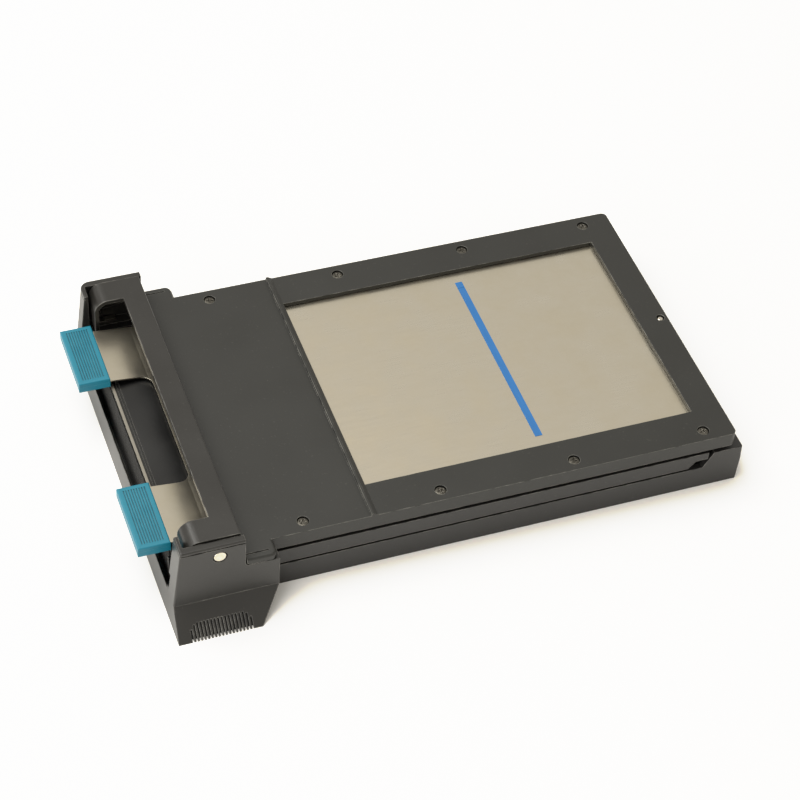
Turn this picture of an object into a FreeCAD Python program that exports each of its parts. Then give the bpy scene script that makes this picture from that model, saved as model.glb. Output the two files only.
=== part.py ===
import FreeCAD, Part
import os
import re
import Sketcher

# A sheet film holder of the kind that keeps eight film sheaths in a pull-out drawer.
# +X is the end that goes into the camera, -X is the end with the hand grips, and +Z is
# the side with the window. The origin is under the middle of the whole holder.

SIZES = {
    # the cut sheet of film and the sheaths that carry it
    "film_length": 127.0,
    "film_width": 101.6,
    "film_edge_end": 2.95,
    "film_edge_side": 4.9,
    "sheath_edge": 1.0,
    "sheath_height": 1.2,
    "sheath_floor": 0.5,
    "sheath_pitch": 1.35,
    "sheath_count": 8,
    # walls and the clearances between pieces, from the middle outwards
    "sheath_play": 0.4,
    "tray_wall": 1.0,
    "sliding_fit": 0.3,
    "chassis_wall": 3.8,
    "chassis_end": 2.95,
    "skirt_wall": 2.4,
    "skirt_depth": 5.75,
    # layers, from the bottom up
    "shell_floor": 1.6,
    "tray_floor": 1.2,
    "spring_height": 4.25,
    "plate_thickness": 0.8,
    "stack_gap": 0.2,
    "tray_top_gap": 0.1,
    "gate_gap": 0.1,
    "gate_thickness": 2.1,
    "slide_play": 0.25,
    "blade_thickness": 0.6,
    "slide_gap": 0.2,
    "deck": 1.6,
    # front plate
    "back_zone": 47.6,
    "plate_corner": 2.0,
    "rib_width": 2.4,
    "rib_height": 0.95,
    "rib_crest": 0.8,
    "ear_length": 10.6,
    "ear_reach": 6.5,
    "ear_depth": 2.5,
    "ear_corner": 2.2,
    "ear_bead": 1.0,
    "ear_groove_inset": 2.5,
    "ear_groove": 0.4,
    "ear_heel": 1.5,
    "latch_tongue": 5.5,
    "latch_ridge": 1.2,
    "latch_ridge_height": 1.6,
    "latch_gap": 0.3,
    # screws of the front plate and of the rear shell
    "screw_first": 10.98,
    "screw_last": 22.59,
    "screw_head": 3.8,
    "screw_head_height": 0.8,
    "screw_shank": 1.9,
    "screw_length": 7.0,
    "screw_recess": 1.1,
    "screw_head_clearance": 0.2,
    "screw_slot_width": 0.55,
    "screw_slot_length": 2.2,
    "screw_slot_depth": 0.45,
    "shell_screw_shift": 7.0,
    "locating_hole": 3.0,
    "locating_pin": 2.2,
    "locating_pin_inset": 2.6,
    "locating_pin_side": 1.0,
    "locating_hole_depth": 1.2,
    "locating_pin_height": 0.8,
    # rear shell
    "shell_lead": 3.7,
    "cheek_height": 9.6,
    "nose_height": 16.2,
    "nose_ledge": 7.4,
    "nose_ramp": 3.7,
    "shell_corner": 0.6,
    "shell_draft": 0.5,
    "nose_draft": 0.25,
    # side rails
    "rail_low": 10.6,
    "rail_high": 16.7,
    "rail_nose": 9.6,
    "rail_nose_height": 3.0,
    "rail_nose_flat": 4.7,
    "rail_nose_ramp": 2.5,
    "rail_web": 1.0,
    "rail_channel": 1.8,
    "stop_pin": 1.5,
    "stop_pin_reach": 0.8,
    "stop_pin_root": 2.4,
    "stop_pin_place": 27.0,
    "stop_groove_depth": 1.1,
    "stop_groove_play": 0.25,
    # end housing, measured from the back edge of the front plate
    "block_lap": 11.3,
    "block_step": 0.5,
    "block_reach_top": 22.6,
    "block_draft": 3.4,
    "block_reach_in": 21.2,
    "block_side": 6.5,
    "rim_height": 10.0,
    "rim_width": 2.7,
    "rim_round": 0.6,
    "corner_near": 0.6,
    "corner_far": 3.4,
    "rim_groove": 0.45,
    "rim_groove_drop": 1.05,
    "post_lap": 1.5,
    "bail_pocket_floor": 17.2,
    "end_wall_height": 9.6,
    "end_wall_thickness": 3.0,
    "end_wall_thin": 1.15,
    "end_wall_foot": 1.5,
    "ear_fit": 0.15,
    "crease_height": 8.7,
    "wing_reach": 9.5,
    "wing_taper": 8.4,
    "grip_groove_count": 18,
    "grip_groove_pitch": 1.2,
    "grip_groove_width": 0.6,
    "grip_groove_depth": 1.4,
    "grip_groove_top": 4.2,
    "grip_groove_first": 3.2,
    "grip_groove_short": 1.4,
    "grip_groove_less": 0.4,
    # locking bail and its pins
    "pin_back": 9.2,
    "pin_rise": 4.7,
    "pin_diameter": 4.3,
    "pin_fit": 0.3,
    "pin_journal": 2.6,
    "pin_ring": 0.35,
    "pin_ring_depth": 0.9,
    "pin_round": 0.3,
    "bail_top": 10.7,
    "bail_front": 1.4,
    "bail_back": 20.1,
    "bail_thickness": 1.5,
    "bail_side_gap": 0.3,
    "bail_flange": 2.0,
    "bail_radius": 5.0,
    "bail_cut_back": 9.5,
    "bail_cut_inset": 6.2,
    "bail_skirt": 3.0,
    "bail_boss": 4.2,
    "bail_edge": 0.4,
    # dark slide
    "blade_lead": 0.4,
    "blade_inset": 0.3,
    "blade_corner": 2.0,
    "notch_back": 7.5,
    "notch_half": 25.9,
    "notch_radius": 4.0,
    "leg_rise": 1.35,
    "leg_rise_start": 8.5,
    "leg_rise_end": 21.5,
    "leg_end": 31.0,
    "grip_front": 22.0,
    "grip_back": 33.2,
    "grip_lap_inner": 0.7,
    "grip_lap_outer": 1.5,
    "grip_lap_end": 2.0,
    "leg_play": 0.1,
    "past": 1.0,
    "stroke_spare": 7.0,
    "overlap": 0.2,
    "grip_half_height": 1.85,
    "grip_round": 0.5,
    "grip_line_count": 9,
    "grip_line_pitch": 0.9,
    "grip_line_width": 0.35,
    "grip_line_depth": 0.25,
    "grip_border": 1.7,
    "rivet_diameter": 2.0,
    "rivet_spread": 16.0,
    "marker_width": 2.7,
    "marker_height": 0.1,
    "marker_middle": 66.5,
    "marker_near": 40.0,
    "marker_far": 37.6,
    "marker_tip_length": 3.0,
    "marker_tip_gap": 0.1,
    # drawer fittings
    "cover_drop": 0.9,
    "cover_thickness": 0.8,
    "cover_side_play": 0.3,
    "cover_back": 21.85,
    "hem_width": 1.0,
    "hem_height": 0.35,
    "felt_drop": 0.4,
    "felt_thickness": 0.5,
    "cover_line": 0.35,
    "cover_line_depth": 0.25,
    "cover_line_spacing": 0.95,
    "gate_lap": 16.6,
    "gate_rail": 1.5,
    "gate_margin": 1.5,
    "velvet_width": 8.0,
    "velvet_depth": 0.8,
    "velvet_margin": 2.0,
    "catch_length": 30.0,
    "catch_width": 1.0,
    "catch_tooth": 1.0,
    "spring_strip": 0.4,
    "spring_width": 12.0,
    "spring_side": 25.0,
    "spring_length": 76.0,
    "spring_foot": 10.0,
    "spring_crown": 14.0,
    "bail_spring_foot": 4.0,
    "bail_spring_reach": 6.0,
    "bail_spring_lean": 1.5,
    "small_screw_head": 3.6,
    "small_screw_shank": 1.9,
    "small_screw_first": 7.0,
    "small_screw_spacing": 20.0,
    "tray_screw_side": 40.0,
}

PLACES = {
    # across the holder: half widths measured from the middle
    "sheath_half": "film_width / 2 + sheath_edge",
    "tray_inside": "sheath_half + sheath_play",
    "tray_outside": "tray_inside + tray_wall",
    "chassis_inside": "tray_outside + sliding_fit",
    "chassis_outside": "chassis_inside + chassis_wall",
    "skirt_inside": "chassis_outside + sliding_fit",
    "body_half": "skirt_inside + skirt_wall",
    "screw_side": "(chassis_inside + chassis_outside) / 2",
    "block_half": "body_half + block_side",
    "rim_inside": "block_half - rim_width",
    "bail_half": "rim_inside - bail_side_gap",
    "wing_half": "block_half + wing_reach",
    "post_inside": "body_half - post_lap",
    "bail_cut_half": "body_half - bail_cut_inset",
    "window_half": "film_width / 2 - film_edge_side",
    "blade_half": "sheath_half - blade_inset",
    "grip_inner": "notch_half - grip_lap_inner",
    "grip_outer": "blade_half + grip_lap_outer",
    # heights
    "tray_low": "shell_floor + sliding_fit",
    "tray_deck": "tray_low + tray_floor",
    "press_low": "tray_deck + spring_height",
    "press_high": "press_low + plate_thickness",
    "stack_low": "press_high + stack_gap",
    "stack_high": "stack_low + sheath_count * sheath_pitch",
    "tray_high": "stack_low + (sheath_count - 1) * sheath_pitch - tray_top_gap",
    "gate_low": "stack_high + gate_gap",
    "gate_high": "gate_low + gate_thickness",
    "blade_low": "gate_high + slide_play",
    "blade_high": "blade_low + blade_thickness",
    "deck_low": "blade_high + slide_gap",
    "face": "deck_low + deck",
    "skirt_low": "face - skirt_depth",
    "low_top": "face - ear_depth - ear_fit",
    "rim_top": "face + rim_height",
    "bail_high": "face + bail_top",
    "pin_height": "face + pin_rise",
    "cover_high": "blade_low - cover_drop",
    "leg_low": "blade_low + leg_rise",
    "leg_high": "leg_low + blade_thickness",
    # along the holder
    "window_length": "film_length - 2 * film_edge_end",
    "window_lead": "skirt_wall + chassis_end + 2 * sliding_fit + tray_wall + sheath_play + sheath_edge"
                   " + film_edge_end",
    "plate_length": "window_lead + window_length + back_zone",
    "overall_length": "shell_lead + plate_length + grip_back",
    "insert_end": "overall_length / 2",
    "plate_end": "insert_end - shell_lead",
    "plate_back": "plate_end - plate_length",
    "window_right": "plate_end - window_lead",
    "window_left": "window_right - window_length",
    "sheath_right": "window_right + film_edge_end + sheath_edge",
    "sheath_left": "window_left - film_edge_end - sheath_edge",
    "tray_right": "sheath_right + sheath_play + tray_wall",
    "chassis_right": "plate_end - skirt_wall - sliding_fit",
    "chassis_end_inside": "chassis_right - chassis_end",
    "block_front": "plate_back + block_lap",
    "tall_front": "plate_back - block_step",
    "block_back_top": "plate_back - block_reach_top",
    "block_back_low": "block_back_top - block_draft",
    "block_inside": "plate_back - block_reach_in",
    "end_wall_inside": "block_back_low + end_wall_thickness",
    "end_wall_face": "block_back_low + end_wall_thin",
    "wing_front": "block_front - wing_taper",
    "shell_left": "block_front + sliding_fit",
    "pin_place": "plate_back - pin_back",
    "bail_right": "plate_back - bail_front",
    "bail_left": "plate_back - bail_back",
    "gate_left": "window_left - gate_lap",
    "cover_left": "plate_back - cover_back",
    "stop_place": "plate_back + stop_pin_place",
    "stroke": "window_length + stroke_spare",
    "rail_middle": "(rail_low + rail_high) / 2",
    "screw_spacing": "(plate_length - screw_first - screw_last) / 3",
}

SIDES = (("near", -1), ("far", 1))

doc = FreeCAD.newDocument("sheet_film_holder")
sizes = doc.addObject("Spreadsheet::Sheet", "sizes")
for row, (name, value) in enumerate(SIZES.items(), start=1):
    sizes.set(f"A{row}", name)
    sizes.set(f"B{row}", str(value))
    sizes.setAlias(f"B{row}", name)
doc.recompute()


def bound(text, own=""):
    """The expression with each size led by its sheet and each place by its set."""
    def lead(match):
        word = match.group(0)
        if word in SIZES:
            return "sizes." + word
        if word in PLACES:
            return own + word
        return word
    return re.sub(r"[a-z][a-z0-9_]*", lead, text)


places = doc.addObject("App::VarSet", "places")
for name, rule in PLACES.items():
    places.addProperty("App::PropertyFloat", name, "Places")
    places.setExpression(name, bound(rule))
doc.recompute()


def number(text):
    """The present value of an expression, in millimetres."""
    return float(places.evalExpression(bound(text)))


def linked(text):
    return bound(text, own="places.")


def new_body(label):
    body = doc.addObject("PartDesign::Body", label)
    body.Label = label
    return body


def new_sketch(body, plane, offset):
    """A sketch on one of the body's own origin planes, lifted off it along its normal."""
    sketch = body.newObject("Sketcher::SketchObject", body.Name + "_sketch")
    origin_plane = [item for item in body.Origin.OriginFeatures if item.Role == plane][0]
    sketch.AttachmentSupport = [(origin_plane, "")]
    sketch.MapMode = "FlatFace"
    sketch.setExpression("AttachmentOffset.Base.z", linked(offset))
    return sketch


def tie(sketch, geometry, point, across, up):
    """Hold a point of the sketch at two expressions from the sketch's own origin."""
    for kind, rule in (("DistanceX", across), ("DistanceY", up)):
        mark = sketch.addConstraint(Sketcher.Constraint(kind, -1, 1, geometry, point, number(rule)))
        sketch.setExpression(f"Constraints[{mark}]", linked(rule))


def draw_outline(sketch, corners):
    """A closed outline of straight sides through corners given as pairs of expressions."""
    points = [FreeCAD.Vector(number(across), number(up), 0) for across, up in corners]
    first = sketch.GeometryCount
    count = len(points)
    for index in range(count):
        sketch.addGeometry(Part.LineSegment(points[index], points[(index + 1) % count]), False)
    for index in range(count):
        following = first + (index + 1) % count
        sketch.addConstraint(Sketcher.Constraint("Coincident", first + index, 2, following, 1))
    for index, (across, up) in enumerate(corners):
        tie(sketch, first + index, 1, across, up)


def draw_circle(sketch, across, up, diameter):
    centre = FreeCAD.Vector(number(across), number(up), 0)
    radius = number(diameter) / 2
    mark = sketch.addGeometry(Part.Circle(centre, FreeCAD.Vector(0, 0, 1), radius), False)
    tie(sketch, mark, 3, across, up)
    ring = sketch.addConstraint(Sketcher.Constraint("Diameter", mark, 2 * radius))
    sketch.setExpression(f"Constraints[{ring}]", linked(diameter))


def feature(body, kind, plane, low, high, outlines, circles):
    """Add or cut the sketch's shape between two places along the plane's own world axis."""
    cutting = kind == "PartDesign::Pocket"
    if plane == "XZ_Plane":
        offset = f"-({low})" if cutting else f"-({high})"
    else:
        offset = high if cutting else low
    sketch = new_sketch(body, plane, offset)
    for corners in outlines:
        draw_outline(sketch, corners)
    for across, up, diameter in circles:
        draw_circle(sketch, across, up, diameter)
    before = body.Shape.Volume if cutting else 0
    item = body.newObject(kind, body.Name + "_step")
    item.Profile = sketch
    item.setExpression("Length", linked(f"({high}) - ({low})"))
    doc.recompute()
    if cutting and not item.Shape.Volume < before:
        raise RuntimeError(f"{body.Label}: a pocket cuts nothing")
    return item


def pad(body, plane, low, high, *outlines, circles=()):
    return feature(body, "PartDesign::Pad", plane, low, high, outlines, circles)


def pocket(body, plane, low, high, *outlines, circles=()):
    return feature(body, "PartDesign::Pocket", plane, low, high, outlines, circles)


def rectangle(left, right, low, high):
    return [(left, low), (right, low), (right, high), (left, high)]


def span(side, inner, outer):
    """The two ends of a stretch across the holder, on its near or its far side."""
    if side > 0:
        return inner, outer
    return f"-({outer})", f"-({inner})"


def both_sides(half):
    """Signed places at plus and minus a half width."""
    return [f"-({half})", half]


def edges_where(shape, test):
    """The names of the edges whose bounding box passes a test."""
    return [f"Edge{index}" for index, edge in enumerate(shape.Edges, start=1) if test(edge.BoundBox)]


def near(value, target):
    return abs(value - target) < 1e-4


def at(low, high, target):
    return near(low, target) and near(high, target)


def dress(body, kind, size, test):
    """A fillet or a chamfer on the edges that pass the test."""
    base = body.Tip
    names = edges_where(base.Shape, test)
    if not names:
        raise RuntimeError(f"{body.Label}: no edge to dress")
    item = body.newObject(kind, body.Name + "_edge")
    item.Base = (base, names)
    item.setExpression("Radius" if kind == "PartDesign::Fillet" else "Size", linked(size))
    doc.recompute()
    if "Invalid" in item.State or not item.Shape.isValid():
        raise RuntimeError(f"{body.Label}: an edge could not be dressed")
    return item


def fillet(body, size, test):
    return dress(body, "PartDesign::Fillet", size, test)


def chamfer(body, size, test):
    return dress(body, "PartDesign::Chamfer", size, test)


def upright_at(x_rule, y_rule):
    """A test for upright edges at one place along and plus or minus one place across."""
    x = number(x_rule)
    y = number(y_rule)
    return lambda box: at(box.XMin, box.XMax, x) and at(abs(box.YMin), abs(box.YMax), y) and (
        near(box.YMin, box.YMax))


def cross_edge_at(x_rule, z_rule):
    """A test for edges that run across the holder at one place along and one height."""
    x = number(x_rule)
    z = number(z_rule)
    return lambda box: at(box.XMin, box.XMax, x) and at(box.ZMin, box.ZMax, z)


def repeat(body, item, axis_plane, length, count):
    """Repeat a feature along the X direction, evenly over a length."""
    pattern = body.newObject("PartDesign::LinearPattern", body.Name + "_row")
    pattern.Originals = [item]
    x_axis = [part for part in body.Origin.OriginFeatures if part.Role == axis_plane][0]
    pattern.Direction = (x_axis, [""])
    pattern.setExpression("Length", linked(length))
    pattern.setExpression("Occurrences", linked(count))
    body.Tip = pattern
    doc.recompute()
    return pattern


def box_body(label, left, right, y_low, y_high, z_low, z_high):
    """A plain rectangular piece."""
    body = new_body(label)
    pad(body, "XY_Plane", z_low, z_high, rectangle(left, right, y_low, y_high))
    return body


def screw_spots(shift="0"):
    """Places of a long row of screws: four along each side wall."""
    spots = []
    for index in range(4):
        along = f"plate_end - screw_first - {index} * screw_spacing - ({shift})"
        for across in both_sides("screw_side"):
            spots.append((along, across))
    return spots


def screw_group(label, spots, seat, upwards, head, shank, head_height, length, slot=None):
    """Identical screws, heads at the seat height: one solid each, joined in one piece of file."""
    group = doc.addObject("Part::Compound", label)
    group.Label = label
    screws = []
    for index, (along, across) in enumerate(spots):
        pieces = []
        for kind, diameter, reach in (("head", head, head_height), ("shank", shank, length)):
            cylinder = doc.addObject("Part::Cylinder", f"{label}_{kind}_{index}")
            cylinder.setExpression("Radius", linked(f"({diameter}) / 2"))
            cylinder.setExpression("Height", linked(reach))
            cylinder.setExpression("Placement.Base.x", linked(along))
            cylinder.setExpression("Placement.Base.y", linked(across))
            low = seat if upwards else f"({seat}) - ({reach})"
            cylinder.setExpression("Placement.Base.z", linked(low))
            pieces.append(cylinder)
        screw = doc.addObject("Part::MultiFuse", f"{label}_{index}")
        screw.Shapes = pieces
        screw.Refine = True
        if slot:
            screw = cross_slot(f"{label}_cut_{index}", screw, along, across, seat)
        screws.append(screw)
    group.Links = screws
    return group


def cross_slot(label, screw, along, across, seat):
    """The screw with a crossed driver recess sunk into the top of its head."""
    bars = []
    for turn, (long_way, short_way) in enumerate((("screw_slot_length", "screw_slot_width"),
                                                  ("screw_slot_width", "screw_slot_length"))):
        bar = doc.addObject("Part::Box", f"{label}_bar_{turn}")
        bar.setExpression("Length", linked(long_way))
        bar.setExpression("Width", linked(short_way))
        bar.setExpression("Height", linked("screw_slot_depth"))
        bar.setExpression("Placement.Base.x", linked(f"({along}) - {long_way} / 2"))
        bar.setExpression("Placement.Base.y", linked(f"({across}) - {short_way} / 2"))
        bar.setExpression("Placement.Base.z", linked(f"({seat}) - screw_slot_depth"))
        bars.append(bar)
    cross = doc.addObject("Part::MultiFuse", f"{label}_cross")
    cross.Shapes = bars
    cut = doc.addObject("Part::Cut", label)
    cut.Base = screw
    cut.Tool = cross
    return cut


# ---- the fixed part of the holder ----

def make_front_plate():
    """The moulded front: deck with window and rib, skirt, ears and the tongue under the bail."""
    body = new_body("front_plate")
    y = both_sides("body_half")
    pad(body, "XY_Plane", "skirt_low", "face", rectangle("plate_back", "plate_end", *y))
    fillet(body, "plate_corner", upright_at("plate_end", "body_half"))
    pad(body, "XZ_Plane", *y, [("window_left - rib_width", "face - deck"),
                               ("window_left", "face - deck"), ("window_left", "face"),
                               ("window_left - rib_width + rib_crest", "face + rib_height"),
                               ("window_left - rib_width", "face + rib_height")])
    for _, side in SIDES:
        pad(body, "XY_Plane", "face - ear_depth", "face",
            rectangle("plate_back", "plate_back + ear_length", *span(side, "skirt_inside", "block_half")))
    pad(body, "XY_Plane", "deck_low", "face",
        rectangle("plate_back - latch_tongue", "plate_back + skirt_wall", *both_sides("bail_cut_half")))
    pad(body, "XY_Plane", "deck_low", "face + latch_ridge_height",
        rectangle("plate_back - latch_tongue", "plate_back - latch_tongue + latch_ridge",
                  *both_sides("bail_cut_half")))
    fillet(body, "ear_corner", upright_at("plate_back + ear_length", "block_half"))
    heel = cross_edge_at("plate_back", "face - ear_depth")
    outside = number("body_half")
    fillet(body, "ear_heel", lambda box: heel(box) and min(abs(box.YMin), abs(box.YMax)) > outside - 1
           and box.YMax - box.YMin > 1)
    top = number("face")
    side = number("block_half")
    fillet(body, "ear_bead", lambda box: at(box.ZMin, box.ZMax, top) and near(box.YMin, box.YMax)
           and near(abs(box.YMin), side))
    pocket(body, "XY_Plane", "skirt_low - past", "deck_low",
           rectangle("plate_back - past", "plate_end - skirt_wall", *both_sides("skirt_inside")))
    pocket(body, "XY_Plane", "deck_low - past", "face + past",
           rectangle("window_left", "window_right", *both_sides("window_half")))
    for across in both_sides("block_half - ear_groove_inset"):
        pocket(body, "XY_Plane", "face - ear_groove", "face + past",
               rectangle("plate_back - past", "plate_back + ear_length - ear_groove_inset",
                         f"{across} - ear_groove / 2", f"{across} + ear_groove / 2"))
    heads = [(*spot, "screw_head + screw_head_clearance * 2") for spot in screw_spots()]
    pocket(body, "XY_Plane", "face - screw_recess", "face + past", circles=heads)
    shanks = [(*spot, "screw_shank") for spot in screw_spots()]
    pocket(body, "XY_Plane", "deck_low - past", "face", circles=shanks)
    pocket(body, "XY_Plane", "face - locating_hole_depth", "face + past",
           circles=[("plate_end - locating_pin_inset", "locating_pin_side", "locating_hole")])
    velvet = rectangle("gate_left + velvet_margin", "gate_left + velvet_margin + velvet_width",
                       *both_sides("blade_half"))
    pocket(body, "XY_Plane", "deck_low - past", "deck_low + velvet_depth", velvet)
    return body


def make_chassis():
    """The inner frame, open towards the grips, that the plate and the shell are screwed to."""
    body = new_body("chassis_frame")
    pad(body, "XY_Plane", "shell_floor", "deck_low",
        rectangle("shell_left", "chassis_right", *both_sides("chassis_outside")))
    pocket(body, "XY_Plane", "shell_floor - past", "deck_low + past",
           rectangle("shell_left - past", "chassis_end_inside", *both_sides("chassis_inside")))
    top_holes = [(*spot, "screw_shank") for spot in screw_spots()]
    pocket(body, "XY_Plane", "face - screw_recess + screw_head_height - screw_length", "deck_low + past",
           circles=top_holes)
    low_holes = [(*spot, "screw_shank") for spot in screw_spots("shell_screw_shift")]
    pocket(body, "XY_Plane", "shell_floor - past", "screw_length", circles=low_holes)
    for _, side in SIDES:
        low, high = span(side, "chassis_outside - stop_pin_root", "chassis_outside + past")
        pocket(body, "XZ_Plane", low, high, circles=[("stop_place", "rail_middle", "stop_pin")])
    return body


def make_shell():
    """The tray-shaped back with its raised nose, whose ledge stands out past the front plate."""
    body = new_body("rear_shell")
    pad(body, "XZ_Plane", *both_sides("body_half"),
        [("shell_left", "0"), ("insert_end - shell_draft", "0"), ("insert_end", "cheek_height"),
         ("insert_end - nose_draft", "nose_height"),
         ("plate_end - nose_ledge", "nose_height"),
         ("plate_end - nose_ledge - nose_ramp", "cheek_height"), ("shell_left", "cheek_height")])
    end = number("insert_end - shell_draft") - 0.1
    fillet(body, "shell_corner", lambda box: box.XMin > end and box.ZMax > box.ZMin + 1
           and at(box.YMin, box.YMax, box.YMin) and near(abs(box.YMin), number("body_half")))
    pocket(body, "XY_Plane", "shell_floor", "nose_height + past",
           rectangle("shell_left - past", "plate_end - skirt_wall", *both_sides("skirt_inside")))
    spots = screw_spots("shell_screw_shift")
    heads = [(*spot, "screw_head + screw_head_clearance * 2") for spot in spots]
    pocket(body, "XY_Plane", "-past", "screw_recess", circles=heads)
    pocket(body, "XY_Plane", "0", "shell_floor + past", circles=[(*spot, "screw_shank") for spot in spots])
    return body


def make_gate():
    """The frame under the slide that sets the film plane, with side rails that steer the slide."""
    body = new_body("film_gate")
    left = "gate_left"
    right = "chassis_end_inside - slide_play"
    pad(body, "XY_Plane", "gate_low", "deck_low - slide_play / 2",
        rectangle(left, right, *both_sides("chassis_inside - slide_play")))
    pocket(body, "XY_Plane", "gate_high", "deck_low + past",
           rectangle("gate_left - past", "chassis_end_inside", *both_sides("blade_half + sliding_fit")))
    pocket(body, "XY_Plane", "gate_low - past", "gate_high + past",
           rectangle("window_left - gate_margin", "window_right + gate_margin",
                     *both_sides("window_half + gate_margin")))
    pocket(body, "XY_Plane", "gate_high - velvet_depth", "gate_high + past",
           rectangle("gate_left + velvet_margin", "gate_left + velvet_margin + velvet_width",
                     *both_sides("blade_half")))
    return body


def make_velvets():
    """Pile strips let into the plate and the gate that keep light out along the slide."""
    for label, low, high in (("front_velvet", "deck_low", "deck_low + velvet_depth"),
                             ("rear_velvet", "gate_high - velvet_depth", "gate_high")):
        box_body(label, "gate_left + velvet_margin", "gate_left + velvet_margin + velvet_width",
                 *both_sides("blade_half"), low, high)


def make_fixed_fittings():
    screw_group("cover_screws", screw_spots(), "face - screw_recess + screw_head_height", False,
                "screw_head", "screw_shank", "screw_head_height", "screw_length", slot=True)
    screw_group("shell_screws", screw_spots("shell_screw_shift"), "screw_recess - screw_head_height",
                True, "screw_head", "screw_shank", "screw_head_height", "screw_length - past")
    pin = new_body("locating_pin")
    pad(pin, "XY_Plane", "face - locating_hole_depth",
        "face - locating_hole_depth + locating_pin_height",
        circles=[("plate_end - locating_pin_inset", "locating_pin_side", "locating_pin")])
    top = number("face - locating_hole_depth + locating_pin_height")
    fillet(pin, "locating_pin_height / 2", lambda box: at(box.ZMin, box.ZMax, top))
    for name, side in SIDES:
        low, high = span(side, "chassis_outside - stop_pin_root", "chassis_outside + stop_pin_reach")
        stop = new_body("drawer_stop_" + name)
        pad(stop, "XZ_Plane", low, high, circles=[("stop_place", "rail_middle", "stop_pin")])


def make_catches():
    """Spring strips in the chassis that hold back the foremost sheath while the drawer is out."""
    for name, side in SIDES:
        body = new_body("sheath_catch_" + name)
        low, high = span(side, "chassis_inside - catch_width", "chassis_inside")
        pad(body, "XY_Plane", "tray_high + tray_top_gap * 2", "stack_high - tray_top_gap",
            rectangle("sheath_right - catch_length", "sheath_right", low, high))
        low, high = span(side, "sheath_half - catch_tooth", "chassis_inside")
        pad(body, "XY_Plane", "tray_high + tray_top_gap * 2", "stack_high - tray_top_gap",
            rectangle("sheath_right + sheath_play / 2", "sheath_right + sheath_play / 2 + catch_width",
                      low, high))
        low, high = span(side, "chassis_inside - catch_width", "chassis_inside")
        pad(body, "XY_Plane", "tray_high + tray_top_gap * 2", "stack_high - tray_top_gap",
            rectangle("sheath_right - catch_tooth", "sheath_right + sheath_play / 2 + catch_width",
                      low, high))


def make_sheaths():
    """Eight shallow metal sheaths, counted from the window down, each to hold one sheet."""
    for index in range(int(number("sheath_count"))):
        low = f"stack_low + (sheath_count - {index + 1}) * sheath_pitch"
        body = new_body(f"film_sheath_{index + 1}")
        pad(body, "XY_Plane", low, f"{low} + sheath_height",
            rectangle("sheath_left", "sheath_right", *both_sides("sheath_half")))
        pocket(body, "XY_Plane", f"{low} + sheath_floor", f"{low} + sheath_height + past",
               rectangle("sheath_left - past", "sheath_right - sheath_edge", *both_sides("film_width / 2")))


# ---- the pull-out drawer ----

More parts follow.
